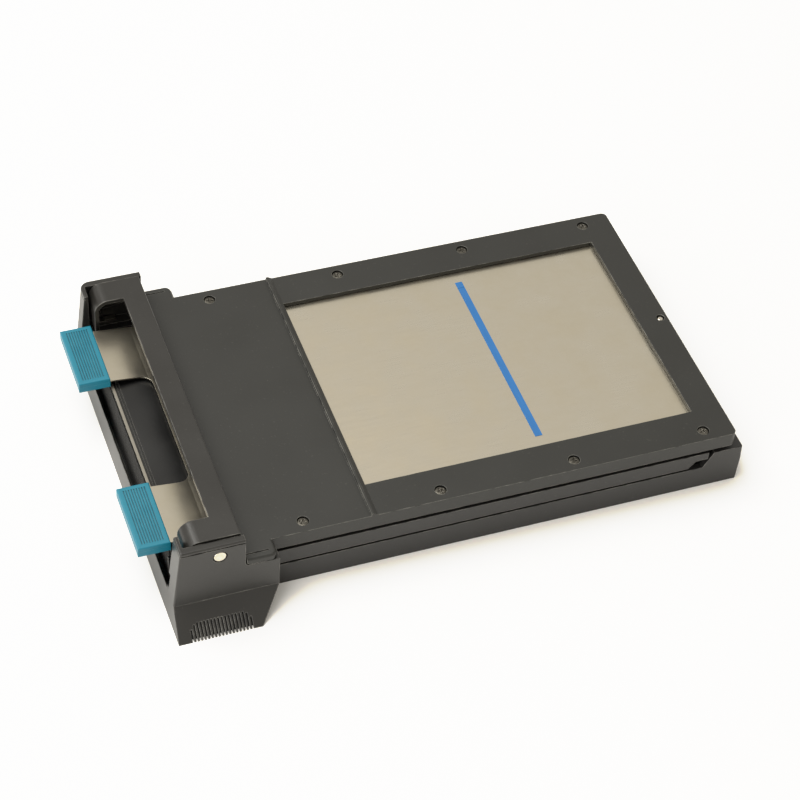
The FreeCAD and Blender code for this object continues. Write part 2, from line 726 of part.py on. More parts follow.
def make_housing():
    """The grip block at the drawer's end: side walls, rims, posts, end wall and flared grips."""
    body = new_body("end_housing")
    pad(body, "XZ_Plane", *both_sides("wing_half"),
        [("block_back_low", "0"), ("wing_front", "0"), ("block_front", "crease_height"),
         ("block_front", "low_top"), ("tall_front", "low_top"), ("tall_front", "rim_top"),
         ("block_back_top", "rim_top")])
    outside = "wing_half + block_side"
    for sign in ("", "-"):
        pocket(body, "YZ_Plane", "block_back_low - past", "block_front + past",
               [(f"{sign}block_half", "rim_top + past"), (f"{sign}block_half", "crease_height"),
                (f"{sign}(wing_half + wing_reach)", "-crease_height"),
                (f"{sign}({outside} + wing_reach)", "-crease_height"),
                (f"{sign}({outside} + wing_reach)", "rim_top + past")])
    slope = number("block_back_top") + 0.1
    for name, side in SIDES:
        corner = side * number("block_half")
        fillet(body, "corner_" + name, lambda box: at(box.YMin, box.YMax, corner)
               and box.XMax < slope and box.ZMax > number("face"))
    top = number("rim_top")
    front = number("tall_front")
    fillet(body, "rim_round", lambda box: at(box.ZMin, box.ZMax, top) and box.XMin < front - 1)
    groove = ("rim_top - rim_groove_drop - rim_groove", "rim_top - rim_groove_drop")
    for _, side in SIDES:
        pocket(body, "XY_Plane", *groove,
               rectangle("block_back_low - past", "tall_front + past",
                         *span(side, "block_half - rim_groove", "block_half + past")))
    pocket(body, "XY_Plane", *groove, rectangle("block_back_low - past", "block_back_top + rim_groove / 2",
                                                *both_sides("block_half + past")))
    fillet(body, "ear_heel", cross_edge_at("tall_front", "low_top"))
    pocket(body, "XY_Plane", "bail_pocket_floor", "rim_top + past",
           rectangle("block_inside", "block_front + past", *both_sides("body_half + sliding_fit")))
    pocket(body, "XY_Plane", "bail_pocket_floor", "rim_top + past",
           rectangle("block_inside", "tall_front + past", *both_sides("rim_inside")))
    pocket(body, "XY_Plane", "tray_low", "bail_pocket_floor",
           rectangle("end_wall_inside", "block_front + past", *both_sides("body_half")))
    pocket(body, "XY_Plane", "tray_low + end_wall_foot", "bail_pocket_floor",
           rectangle("end_wall_face", "end_wall_inside + past", *both_sides("body_half")))
    pocket(body, "XY_Plane", "bail_pocket_floor", "rim_top + past",
           rectangle("block_inside - past", "block_front + past", *both_sides("post_inside")))
    pocket(body, "XY_Plane", "end_wall_height", "rim_top + past",
           rectangle("block_back_low - past", "block_front + past", *both_sides("post_inside")))
    pad(body, "XY_Plane", "0", "tray_low",
        rectangle("end_wall_inside - past", "block_front", *both_sides("body_half")))
    spots = tray_screw_spots()
    heads = [(*spot, "small_screw_head + screw_head_clearance * 2") for spot in spots]
    pocket(body, "XY_Plane", "-past", "screw_head_height", circles=heads)
    pocket(body, "XY_Plane", "0", "tray_low + past",
           circles=[(*spot, "small_screw_shank") for spot in spots])
    for _, side in SIDES:
        low, high = span(side, "rim_inside - past", "block_half + past")
        pocket(body, "XZ_Plane", low, high, circles=[("pin_place", "pin_height", "pin_diameter")])
        low, high = span(side, "block_half - pin_ring_depth", "block_half + past")
        pocket(body, "XZ_Plane", low, high,
               circles=[("pin_place", "pin_height", "pin_diameter + pin_ring * 2")])
        low, high = span(side, "body_half - past", "body_half + block_side / 2")
        pocket(body, "XZ_Plane", low, high, circles=rail_screw_circles())
        add_grip_grooves(body, side)
    return body


def add_grip_grooves(body, side):
    """Upright finger grooves in one flared face, open at the bottom, shorter at both ends of the row."""
    first = "wing_front - grip_groove_first"
    last = f"{first} - (grip_groove_count - 1) * grip_groove_pitch"
    for end, inward in ((first, "-"), (last, "+")):
        for index, drop in enumerate(("grip_groove_short", "grip_groove_less")):
            cut_groove(body, side, f"{end} {inward} {index} * grip_groove_pitch",
                       f"grip_groove_top - {drop}")
    middle = cut_groove(body, side, f"{first} - 2 * grip_groove_pitch", "grip_groove_top")
    pattern = repeat(body, middle, "X_Axis", "(grip_groove_count - 5) * grip_groove_pitch",
                     "grip_groove_count - 4")
    pattern.Reversed = True
    doc.recompute()


def cut_groove(body, side, right, top):
    """One groove of a flared face, sunk square to the wall and as deep at its top as at its foot."""
    sign = "" if side > 0 else "-"
    slope = "wing_reach / crease_height"
    corners = []
    for height, shift in ((top, "- grip_groove_depth"), (top, "+ past"), ("-past", "+ past"),
                          ("-past", "- grip_groove_depth")):
        corners.append((f"{sign}(wing_half - ({height}) * {slope} {shift})", height))
    return pocket(body, "YZ_Plane", f"{right} - grip_groove_width", right, corners)


def make_tray():
    """The drawer's tray: floor, side walls, and cross walls at both ends of the sheaths."""
    body = new_body("drawer_tray")
    pad(body, "XY_Plane", "tray_low", "tray_high",
        rectangle("end_wall_inside", "tray_right", *both_sides("tray_outside")))
    pocket(body, "XY_Plane", "tray_deck", "tray_high + past",
           rectangle("sheath_left - sheath_play", "sheath_right + sheath_play",
                     *both_sides("tray_inside")))
    pocket(body, "XY_Plane", "tray_deck", "tray_high + past",
           rectangle("end_wall_inside - past", "sheath_left - sheath_play - tray_wall",
                     *both_sides("tray_inside")))
    spots = tray_screw_spots()
    pocket(body, "XY_Plane", "tray_low - past", "tray_deck + past",
           circles=[(*spot, "small_screw_shank") for spot in spots])
    return body


def tray_screw_spots():
    spots = []
    for index in range(2):
        along = f"end_wall_inside + small_screw_first + {index} * small_screw_spacing"
        for across in both_sides("tray_screw_side"):
            spots.append((along, across))
    return spots


def rail_screw_circles():
    """The outlines of the screws that hold one rail."""
    circles = []
    for index in range(2):
        along = f"end_wall_inside + small_screw_first + {index} * small_screw_spacing"
        circles.append((along, "rail_middle", "small_screw_shank"))
    return circles


def make_rails():
    """The side rails that run in the grooves between the plate's skirt and the rear shell."""
    for name, side in SIDES:
        body = new_body("side_rail_" + name)
        low, high = span(side, "skirt_inside", "body_half")
        pad(body, "XZ_Plane", low, high,
            [("end_wall_inside", "rail_low"),
             ("plate_end - rail_nose - rail_nose_flat - rail_nose_ramp", "rail_low"),
             ("plate_end - rail_nose - rail_nose_flat", "rail_high - rail_nose_height"),
             ("plate_end - rail_nose", "rail_high - rail_nose_height"),
             ("plate_end - rail_nose", "rail_high"), ("end_wall_inside", "rail_high")])
        pocket(body, "XY_Plane", "rail_high - rail_channel", "rail_high + past",
               rectangle("block_front", "plate_end - rail_nose - rail_web",
                         *span(side, "skirt_inside - past", "body_half - rail_web")))
        low, high = span(side, "skirt_inside - past", "skirt_inside + stop_groove_depth")
        half = "stop_pin / 2 + stop_groove_play"
        pocket(body, "XZ_Plane", low, high,
               rectangle(f"stop_place - ({half})", f"stop_place + stroke + {half}",
                         f"rail_middle - ({half})", f"rail_middle + {half}"))
        pocket(body, "XZ_Plane", *span(side, "skirt_inside - past", "body_half + past"),
               circles=rail_screw_circles())


def make_cover():
    """The drawer's folded cover behind the sheaths, its bright hem, and the felt at its end."""
    body = new_body("drawer_cover")
    half = "tray_inside - cover_side_play"
    right = "gate_left - cover_side_play"
    pad(body, "XY_Plane", "tray_deck", "cover_high", rectangle("cover_left", right, *both_sides(half)))
    pocket(body, "XY_Plane", "tray_deck - past", "cover_high - cover_thickness",
           rectangle("cover_left - past", "gate_left + past", *both_sides(f"{half} - cover_thickness")))
    for index in (1, 2):
        line = f"cover_left + hem_width + {index} * cover_line_spacing"
        pocket(body, "XY_Plane", "cover_high - cover_line_depth", "cover_high + past",
               rectangle(f"{line} - cover_line", line, *both_sides(half)))
    box_body("cover_hem", "cover_left", "cover_left + hem_width", *both_sides(half),
             "cover_high", "cover_high + hem_height")
    box_body("end_felt", "cover_left - felt_thickness", "cover_left", *both_sides(half),
             "tray_deck", "cover_high - felt_drop")


def bent_strip(label, y_low, y_high, line, thickness):
    """A strip of spring steel that follows a line of corners, as thick upwards as given."""
    body = new_body(label)
    upper = [(across, f"{up} + {thickness}") for across, up in reversed(line)]
    pad(body, "XZ_Plane", y_low, y_high, [*line, *upper])
    return body


def make_springs():
    """Two bowed springs under the pressure plate and one under each ear of the bail."""
    middle = "(sheath_left + sheath_right) / 2"
    for name, side in SIDES:
        low = f"{side} * spring_side - spring_width / 2"
        high = f"{side} * spring_side + spring_width / 2"
        foot = "tray_deck"
        crown = "press_low - spring_strip"
        bent_strip("pressure_spring_" + name, low, high,
                   [(f"{middle} - spring_length / 2", foot),
                    (f"{middle} - spring_length / 2 + spring_foot", foot),
                    (f"{middle} - spring_crown / 2", crown), (f"{middle} + spring_crown / 2", crown),
                    (f"{middle} + spring_length / 2 - spring_foot", foot),
                    (f"{middle} + spring_length / 2", foot)], "spring_strip")
        low, high = span(side, "bail_half - bail_flange", "bail_half")
        floor = "bail_pocket_floor"
        back = "pin_place - bail_spring_reach"
        bent_strip("bail_spring_" + name, low, high,
                   [(f"{back} - bail_spring_foot", floor), ("pin_place - bail_spring_lean", floor),
                    ("pin_place - bail_spring_lean", f"{floor} + spring_strip"),
                    (f"{back} + spring_strip", f"{floor} + spring_strip"),
                    (f"{back} - bail_spring_lean", f"face - latch_gap - spring_strip")], "spring_strip")


def make_bail():
    """The locking bail: a bar over the plate's back edge with two ears that curve down behind
    the posts, side flanges on the pins, and a tooth that drops in front of the plate's ridge."""
    body = new_body("lock_bail")
    inner_left = "bail_left + bail_thickness"
    inner_right = "bail_right - bail_thickness"
    inner_top = "bail_high - bail_thickness"
    tooth = "face + latch_ridge_height + latch_gap"
    skirt = "face - bail_skirt"
    pad(body, "XZ_Plane", *both_sides("bail_half"),
        [("bail_left", skirt), (inner_left, skirt), (inner_left, inner_top), (inner_right, inner_top),
         (inner_right, tooth), ("bail_right", tooth), ("bail_right", "bail_high"),
         ("bail_left", "bail_high")])
    fillet(body, "bail_radius - bail_thickness", cross_edge_at(inner_left, inner_top))
    fillet(body, "bail_radius", cross_edge_at("bail_left", "bail_high"))
    fillet(body, "bail_edge", cross_edge_at("bail_right", "bail_high"))
    for _, side in SIDES:
        low, high = span(side, "bail_half - bail_flange", "bail_half")
        pad(body, "XZ_Plane", low, high,
            [(f"{inner_left} - overlap", "face"), ("pin_place - bail_boss", "face"),
             ("pin_place + bail_boss", tooth), ("bail_right", tooth),
             ("bail_right", f"{inner_top} + overlap"),
             (f"{inner_left} + bail_radius", f"{inner_top} + overlap"),
             (f"{inner_left} - overlap", "bail_high - bail_radius")])
        pocket(body, "XZ_Plane", low, high,
               circles=[("pin_place", "pin_height", "pin_journal + pin_fit * 2")])
    pocket(body, "XY_Plane", f"{skirt} - past", "bail_high + past",
           rectangle("bail_left - past", "plate_back - bail_cut_back", *both_sides("bail_cut_half")))
    return body


def make_bail_pins():
    """Stepped pins: a wide head in the housing wall and a thinner journal in the bail."""
    for name, side in SIDES:
        body = new_body("bail_pin_" + name)
        low, high = span(side, "rim_inside", "block_half")
        pad(body, "XZ_Plane", low, high, circles=[("pin_place", "pin_height", "pin_diameter")])
        low, high = span(side, "bail_half - bail_flange", "rim_inside + past")
        pad(body, "XZ_Plane", low, high,
            circles=[("pin_place", "pin_height", "pin_journal")])
        outside = side * number("block_half")
        fillet(body, "pin_round", lambda box: at(box.YMin, box.YMax, outside))


def make_rail_screws():
    """Screws laid across the holder that hold the rails to the inside of the housing."""
    group = doc.addObject("Part::Compound", "rail_screws")
    group.Label = "rail_screws"
    screws = []
    for index, (along, up, diameter) in enumerate(rail_screw_circles()):
        for name, side in SIDES:
            cylinder = doc.addObject("Part::Cylinder", f"rail_screw_{name}_{index}")
            cylinder.setExpression("Radius", linked(f"{diameter} / 2"))
            cylinder.setExpression("Height", linked("skirt_wall + block_side / 2"))
            cylinder.Placement.Rotation = FreeCAD.Rotation(FreeCAD.Vector(1, 0, 0), -90 * side)
            cylinder.setExpression("Placement.Base.x", linked(along))
            cylinder.setExpression("Placement.Base.y", linked(f"{side} * skirt_inside"))
            cylinder.setExpression("Placement.Base.z", linked(up))
            screws.append(cylinder)
    group.Links = screws


# ---- the dark slide ----

def make_blade():
    """The steel blade: a flat sheet whose two legs rise a little before they enter the grips."""
    body = new_body("slide_blade")
    rise = ("plate_back - leg_rise_start", "plate_back - leg_rise_end", "plate_back - leg_end")
    tip = "chassis_end_inside - blade_lead"
    pad(body, "XZ_Plane", *both_sides("blade_half"),
        [(rise[2], "leg_low"), (rise[1], "leg_low"), (rise[0], "blade_low"), (tip, "blade_low"),
         (tip, "blade_high"), (rise[0], "blade_high"), (rise[1], "leg_high"), (rise[2], "leg_high")])
    fillet(body, "blade_corner", upright_at(tip, "blade_half"))
    pocket(body, "XY_Plane", "blade_low - past", "leg_high + past",
           rectangle("plate_back - leg_end - past", "plate_back - notch_back", *both_sides("notch_half")))
    fillet(body, "notch_radius", upright_at("plate_back - notch_back", "notch_half"))
    for _, side in SIDES:
        holes = [(*spot, "rivet_diameter") for spot in rivet_spots(side)]
        pocket(body, "XY_Plane", "leg_low - past", "leg_high + past", circles=holes)
    return body


def rivet_spots(side):
    """Two rivets in each grip, spread evenly about its middle."""
    along = "plate_back - (grip_front + grip_back) / 2"
    middle = "(grip_inner + grip_outer) / 2"
    return [(along, f"{side} * ({middle} {sign} rivet_spread / 2)") for sign in ("-", "+")]


def make_grips():
    """Finger grips of two halves. The lower one wraps each leg, the upper one has fine lines."""
    left = "plate_back - grip_back"
    right = "plate_back - grip_front"
    for name, side in SIDES:
        low, high = span(side, "grip_inner", "grip_outer")
        for half, bottom, top in (("top", "leg_high", "leg_high + grip_half_height"),
                                  ("bottom", "leg_low - grip_half_height", "leg_low")):
            body = new_body(f"grip_{half}_{name}")
            pad(body, "XY_Plane", bottom, top, rectangle(left, right, low, high))
            outer = number(top if half == "top" else bottom)
            fillet(body, "grip_round", lambda box: at(box.ZMin, box.ZMax, outer))
            if half == "top":
                add_grip_lines(body, side, top)
            else:
                laps = ("grip_lap_inner", "grip_lap_outer")[::side]
                inside = f"{left} + grip_lap_end - leg_play"
                ends = (f"{low} + {laps[0]} - leg_play", f"{high} - {laps[1]} + leg_play")
                pad(body, "XY_Plane", "leg_low - grip_half_height / 2", "leg_high",
                    [(left, low), (right, low), (right, ends[0]), (inside, ends[0]),
                     (inside, ends[1]), (right, ends[1]), (right, high), (left, high)])
            face = "leg_high" if half == "top" else "leg_low"
            holes = [(*spot, "rivet_diameter") for spot in rivet_spots(side)]
            pocket(body, "XY_Plane", f"{face} - grip_half_height / 2", f"{face} + grip_half_height / 2",
                   circles=holes)


def add_grip_lines(body, side, top):
    """Fine straight grooves in the top of a grip, inside a plain border."""
    for index in range(int(number("grip_line_count"))):
        along = (f"plate_back - (grip_front + grip_back) / 2"
                 f" + ({index} - (grip_line_count - 1) / 2) * grip_line_pitch")
        low, high = span(side, "grip_inner + grip_border", "grip_outer - grip_border")
        pocket(body, "XY_Plane", f"{top} - grip_line_depth", f"{top} + past",
               rectangle(f"{along} - grip_line_width / 2", f"{along} + grip_line_width / 2", low, high))


def make_rivets():
    group = doc.addObject("Part::Compound", "grip_rivets")
    group.Label = "grip_rivets"
    rivets = []
    for name, side in SIDES:
        for index, (along, across) in enumerate(rivet_spots(side)):
            rivet = doc.addObject("Part::Cylinder", f"grip_rivet_{name}_{index}")
            rivet.setExpression("Radius", linked("rivet_diameter / 2"))
            rivet.setExpression("Height", linked("grip_half_height + blade_thickness"))
            rivet.setExpression("Placement.Base.x", linked(along))
            rivet.setExpression("Placement.Base.y", linked(across))
            rivet.setExpression("Placement.Base.z", linked("leg_low - grip_half_height / 2"))
            rivets.append(rivet)
    group.Links = rivets


def make_marker():
    """A thin coloured strip stuck across the slide, cut through near its far end."""
    left = "plate_end - marker_middle - marker_width / 2"
    right = "plate_end - marker_middle + marker_width / 2"
    box_body("marker_strip", left, right, "-marker_near", "marker_far",
             "blade_high", "blade_high + marker_height")
    box_body("marker_tip", left, right, "marker_far + marker_tip_gap",
             "marker_far + marker_tip_gap + marker_tip_length", "blade_high", "blade_high + marker_height")


make_front_plate()
make_chassis()
make_shell()
make_gate()
make_velvets()
make_fixed_fittings()
make_catches()
make_sheaths()
make_housing()
make_tray()
make_rails()
make_cover()
make_springs()
box_body("pressure_plate", "sheath_left", "sheath_right", *both_sides("sheath_half"),
         "press_low", "press_high")
make_bail()
make_bail_pins()
screw_group("tray_screws", tray_screw_spots(), "0", True, "small_screw_head", "small_screw_shank",
            "screw_head_height", "tray_deck")
make_rail_screws()
make_blade()
make_grips()
make_rivets()
make_marker()
doc.recompute()

failed = [item.Label for item in doc.Objects if {"Invalid", "Error"} & set(item.State)]
if failed:
    raise RuntimeError("failed objects: " + ", ".join(failed))

NODES = [item for item in doc.Objects if item.TypeId == "PartDesign::Body"]
NODES += [item for item in doc.Objects if item.TypeId == "Part::Compound"]
for item in NODES:
    if item.Shape.isNull() or not item.Shape.isValid() or not item.Shape.Solids:
        raise RuntimeError(item.Label + " has no sound shape")

os.makedirs("parts", exist_ok=True)
for item in NODES:
    item.Shape.exportStep(f"parts/{item.Label}.step")
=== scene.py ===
import math

import bpy
import numpy as np
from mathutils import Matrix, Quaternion, Vector


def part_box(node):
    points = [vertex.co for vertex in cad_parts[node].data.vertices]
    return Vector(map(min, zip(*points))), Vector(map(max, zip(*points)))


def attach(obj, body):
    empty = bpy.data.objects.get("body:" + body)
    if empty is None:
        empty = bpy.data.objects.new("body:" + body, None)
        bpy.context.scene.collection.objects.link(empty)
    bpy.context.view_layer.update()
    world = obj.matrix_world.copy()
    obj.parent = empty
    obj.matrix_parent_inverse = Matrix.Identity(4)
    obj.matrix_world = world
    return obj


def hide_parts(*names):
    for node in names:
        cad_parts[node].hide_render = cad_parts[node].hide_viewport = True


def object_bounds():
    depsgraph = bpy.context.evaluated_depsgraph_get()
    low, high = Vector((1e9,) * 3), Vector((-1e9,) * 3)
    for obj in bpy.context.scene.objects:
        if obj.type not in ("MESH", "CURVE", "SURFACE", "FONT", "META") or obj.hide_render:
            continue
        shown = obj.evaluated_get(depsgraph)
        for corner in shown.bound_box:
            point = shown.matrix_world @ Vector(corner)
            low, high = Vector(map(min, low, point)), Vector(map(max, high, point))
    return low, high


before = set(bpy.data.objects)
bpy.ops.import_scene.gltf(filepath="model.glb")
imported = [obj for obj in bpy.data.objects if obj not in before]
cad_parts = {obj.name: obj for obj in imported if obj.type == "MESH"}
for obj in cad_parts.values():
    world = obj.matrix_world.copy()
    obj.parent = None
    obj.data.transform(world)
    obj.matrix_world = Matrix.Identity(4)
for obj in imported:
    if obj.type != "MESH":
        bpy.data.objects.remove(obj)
cad_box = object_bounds()
MM = 0.001
BRIGHTEST = 1.9  # the scene brightness that the curve ends at
SCREW_HEAD = 1.9
SCREW_HEAD_HEIGHT = 0.8
SCREW_SHANK = 0.95
SCREW_ROWS = 4
FLOOR_DROP = 0.02


# ---------------------------------------------------------------- shapes

def closed_grid(points):
    """Vertices and faces of a grid of points[i, j]: j runs once round and closes on itself, and the first
    and last row each shrink to one point, so the surface has no hole."""
    count = points.shape[1]
    rings = points[1:-1]
    i, j = np.meshgrid(np.arange(len(rings) - 1), np.arange(count), indexing="ij")
    k = (j + 1) % count
    quads = np.stack([i * count + j, i * count + k, (i + 1) * count + k, (i + 1) * count + j], -1)
    faces = quads.reshape(-1, 4).tolist()
    first = len(rings) * count
    vertices = np.vstack([rings.reshape(-1, 3), points[0, :1], points[-1, :1]])
    ring = np.arange(count)
    after = (ring + 1) % count
    base = (len(rings) - 1) * count
    faces += np.stack([np.full(count, first), after, ring], -1).tolist()
    faces += np.stack([np.full(count, first + 1), base + ring, base + after], -1).tolist()
    return vertices, faces


def mesh_piece(name, shells, material, body, replaced):
    """One piece made of several closed shells, each given as (vertices, faces) in millimetres."""
    vertices, faces, start = [], [], 0
    for shell_vertices, shell_faces in shells:
        vertices.append(shell_vertices)
        faces += [[start + v for v in face] for face in shell_faces]
        start += len(shell_vertices)
    mesh = bpy.data.meshes.new(name)
    mesh.from_pydata((np.vstack(vertices) * MM).tolist(), [], faces)
    mesh.shade_smooth()
    mesh.materials.append(material)
    piece = bpy.data.objects.new(name, mesh)
    bpy.context.scene.collection.objects.link(piece)
    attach(piece, body)
    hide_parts(replaced)


# ---------------------------------------------------------------- materials

def tone(code):
    """The linear colour of an sRGB hex code."""
    channels = [int(code[i:i + 2], 16) / 255 for i in (1, 3, 5)]
    return [c / 12.92 if c <= 0.04045 else ((c + 0.055) / 1.055) ** 2.4 for c in channels] + [1.0]


def add(tree, kind, inputs=None, **settings):
    """Adds one node with its own settings. An input that is another node's output is linked, and any
    other is a value."""
    made = tree.nodes.new("ShaderNode" + kind)
    for name, value in settings.items():
        setattr(made, name, value)
    for name, value in (inputs or {}).items():
        if isinstance(value, bpy.types.NodeSocket):
            tree.links.new(value, made.inputs[name])
        else:
            made.inputs[name].default_value = value
    return made


def begin(name):
    """A new material with an empty tree, and the socket of its Object coordinates."""
    material = bpy.data.materials.new(name)
    material.use_nodes = True
    material.node_tree.nodes.clear()
    return material, material.node_tree, add(material.node_tree, "TexCoord").outputs["Object"]


def finish_with(tree, **inputs):
    """Ends a tree in one Principled shader with these inputs."""
    shader = add(tree, "BsdfPrincipled", {name.replace("_", " "): value for name, value in inputs.items()})
    add(tree, "OutputMaterial", {"Surface": shader.outputs["BSDF"]})


def per_mm(size):
    """The texture scale at which one feature is `size` millimetres across."""
    return 1 / (size * MM)


def blend(tree, share, low, high):
    """The output that goes from colour low to colour high as share goes from 0 to 1."""
    return add(tree, "Mix", {"Factor": share, "A": low, "B": high}, data_type="RGBA").outputs[2]


def uneven(tree, pattern, smooth, rough):
    """The output that follows a pattern's middle range from one roughness to another."""
    return add(tree, "MapRange", {"Value": pattern, "From Min": 0.3, "From Max": 0.7, "To Min": smooth,
                                  "To Max": rough}).outputs["Result"]


def bumpy(tree, height, depth_mm, **under):
    """The shading normal with a height pattern pressed into it, over another normal where one is given."""
    settings = {"Height": height, "Distance": depth_mm * MM, **under}
    return add(tree, "Bump", settings).outputs["Normal"]


def plastic(name, colour, rubbed_and_highlight, roughness, grain_mm=0.5, grain_depth=0.012, rub_and_highlight=0.8, edge_mm=0.4,
            patch_mm=26, painted_shade_colour="#060606", painted_shade_mm=1.2):
    """Moulded plastic: an even fine grain, faint cloudy handling smudges, sparse dust, edges painted
    brighter as scuffed wear and painted highlight, and painted shade that darkens narrow grooves."""
    material, tree, place = begin(name)
    cloud = add(tree, "TexNoise", {"Vector": place, "Scale": per_mm(patch_mm), "Detail": 3.0}).outputs["Fac"]
    dust = add(tree, "TexNoise", {"Vector": place, "Scale": per_mm(0.9), "Detail": 2.0}).outputs["Fac"]
    specks = add(tree, "MapRange", {"Value": dust, "From Min": 0.66, "From Max": 0.78}).outputs["Result"]
    # Painted highlight and wear: where the bevelled normal turns from the face normal, the colour is painted
    # paler, part scuffed wear and part painted highlight.
    softened = add(tree, "Bevel", {"Radius": edge_mm * MM}, samples=6).outputs["Normal"]
    facing = add(tree, "NewGeometry").outputs["Normal"]
    along = add(tree, "VectorMath", {0: softened, 1: facing}, operation="DOT_PRODUCT").outputs["Value"]
    edge_wear_and_highlight = add(tree, "MapRange", {"Value": along, "From Min": 0.985, "From Max": 0.85}).outputs["Result"]
    patchy = add(tree, "TexNoise", {"Vector": place, "Scale": per_mm(4), "Detail": 3.0}).outputs["Fac"]
    patchy_wear_and_highlight = add(tree, "MapRange", {"Value": patchy, "From Min": 0.35, "From Max": 0.65,
                                  "To Max": rub_and_highlight}).outputs["Result"]
    edge_wear_and_highlight = add(tree, "Math", {0: edge_wear_and_highlight, 1: patchy_wear_and_highlight}, operation="MULTIPLY").outputs["Value"]
    dust_wear_and_highlight = add(tree, "Math", {0: specks, 1: 0.06}, operation="MULTIPLY").outputs["Value"]
    dust_wear_and_highlight = add(tree, "Math", {0: dust_wear_and_highlight, 1: edge_wear_and_highlight}, operation="MAXIMUM").outputs["Value"]
    base = blend(tree, cloud, tone(colour), [c * 1.35 for c in tone(colour)[:3]] + [1.0])
    base = blend(tree, dust_wear_and_highlight, base, tone(rubbed_and_highlight))
    # Painted shade: an ambient-occlusion mask darkens narrow grooves and crevices towards the shade colour.
    painted_occlusion = add(tree, "AmbientOcclusion", {"Distance": painted_shade_mm * MM}, samples=6).outputs["AO"]
    unshaded = add(tree, "MapRange", {"Value": painted_occlusion, "From Min": 0.3, "From Max": 0.75}).outputs["Result"]
    base = blend(tree, unshaded, tone(painted_shade_colour), base)
    rough = uneven(tree, cloud, roughness - 0.04, roughness + 0.05)
    grain = add(tree, "TexNoise", {"Vector": place, "Scale": per_mm(grain_mm), "Detail": 2.0}).outputs["Fac"]
    bumped = bumpy(tree, grain, grain_depth, Normal=softened)
    finish_with(tree, Base_Color=base, Roughness=rough, IOR=1.5, Normal=bumped)
    return material


def steel(name, colour, stain, roughness, pull=(8, 0.35), streak=0.3, patch_mm=14, edge_mm=0.15):
    """Bright steel: rolling lines along X, blotchy handling stains and slightly rounded edges."""
    material, tree, place = begin(name)
    scale = (per_mm(pull[0]), per_mm(pull[1]), per_mm(pull[1]))
    drawn = add(tree, "Mapping", {"Vector": place, "Scale": scale}).outputs["Vector"]
    lines = add(tree, "TexNoise", {"Vector": drawn, "Scale": 1.0, "Detail": 3.0}).outputs["Fac"]
    cloud = add(tree, "TexNoise", {"Vector": place, "Scale": per_mm(patch_mm), "Detail": 5.0,
                                   "Roughness": 0.62}).outputs["Fac"]
    stained = add(tree, "MapRange", {"Value": cloud, "From Min": 0.3, "From Max": 0.72}).outputs["Result"]
    base = blend(tree, stained, tone(colour), tone(stain))
    both = add(tree, "Mix", {"Factor": streak, "A": cloud, "B": lines}, data_type="FLOAT").outputs[0]
    rough = uneven(tree, both, roughness - 0.05, roughness + 0.06)
    softened = add(tree, "Bevel", {"Radius": edge_mm * MM}, samples=4).outputs["Normal"]
    bumped = bumpy(tree, lines, 0.0006, Normal=softened)
    finish_with(tree, Base_Color=base, Metallic=1.0, Roughness=rough, Normal=bumped)
    return material


def enamelled_sheet(name, colour, rubbed_and_highlight, roughness):
    """Stoved black enamel on sheet metal: glossy, a faint ripple in the coat, and edges painted paler as
    scuffed wear and painted highlight.
    """
    material, tree, place = begin(name)
    ripple = add(tree, "TexNoise", {"Vector": place, "Scale": per_mm(1.6), "Detail": 2.0}).outputs["Fac"]
    cloud = add(tree, "TexNoise", {"Vector": place, "Scale": per_mm(18), "Detail": 4.0}).outputs["Fac"]
    # Painted highlight and wear: edges where the bevelled normal turns away are painted paler, part scuffed
    # wear and part painted highlight.
    softened = add(tree, "Bevel", {"Radius": 0.2 * MM}, samples=4).outputs["Normal"]
    facing = add(tree, "NewGeometry").outputs["Normal"]
    along = add(tree, "VectorMath", {0: softened, 1: facing}, operation="DOT_PRODUCT").outputs["Value"]
    edge_wear_and_highlight = add(tree, "MapRange", {"Value": along, "From Min": 0.98, "From Max": 0.8,
                                  "To Max": 0.5}).outputs["Result"]
    base = blend(tree, edge_wear_and_highlight, tone(colour), tone(rubbed_and_highlight))
    rough = uneven(tree, cloud, roughness - 0.06, roughness + 0.08)
    bumped = bumpy(tree, ripple, 0.01, Normal=softened)
    finish_with(tree, Base_Color=base, Roughness=rough, IOR=1.5, Normal=bumped)
    return material


def pile(name, colour, fleck, tuft_mm, depth, flecks, sheen=0.3):
    """Woven pile or felt: a soft matt nap with paler fibre ends and, if given, a sheen at
    grazing angles."""
    material, tree, place = begin(name)
    tufts = add(tree, "TexNoise", {"Vector": place, "Scale": per_mm(tuft_mm), "Detail": 6.0,
                                   "Roughness": 0.7}).outputs["Fac"]
    ends = add(tree, "MapRange", {"Value": tufts, "From Min": 0.52, "From Max": 0.7,
                                  "To Max": flecks}).outputs["Result"]
    base = blend(tree, ends, tone(colour), tone(fleck))
    bumped = bumpy(tree, tufts, depth)
    finish_with(tree, Base_Color=base, Roughness=0.95, Sheen_Weight=sheen, Sheen_Roughness=0.5,
                Normal=bumped)
    return material


def tape(name, colour, pale, roughness):
    """Self-adhesive vinyl tape: even glossy colour with a faint pulled ripple."""
    material, tree, place = begin(name)
    scale = (per_mm(1.2), per_mm(9), per_mm(1.2))
    pulled = add(tree, "Mapping", {"Vector": place, "Scale": scale}).outputs["Vector"]
    ripple = add(tree, "TexNoise", {"Vector": pulled, "Scale": 1.0, "Detail": 3.0}).outputs["Fac"]
    base = blend(tree, ripple, tone(colour), tone(pale))
    bumped = bumpy(tree, ripple, 0.01)
    finish_with(tree, Base_Color=base, Roughness=roughness, IOR=1.5, Normal=bumped)
    return material


# ABS, injection moulded in a finely spark-eroded tool: an even satin black, its edges painted paler as
# scuffed wear and painted highlight.
plate_abs = plastic("abs_moulded_fine_grain_plate", "#191916", "#908e86", 0.46)
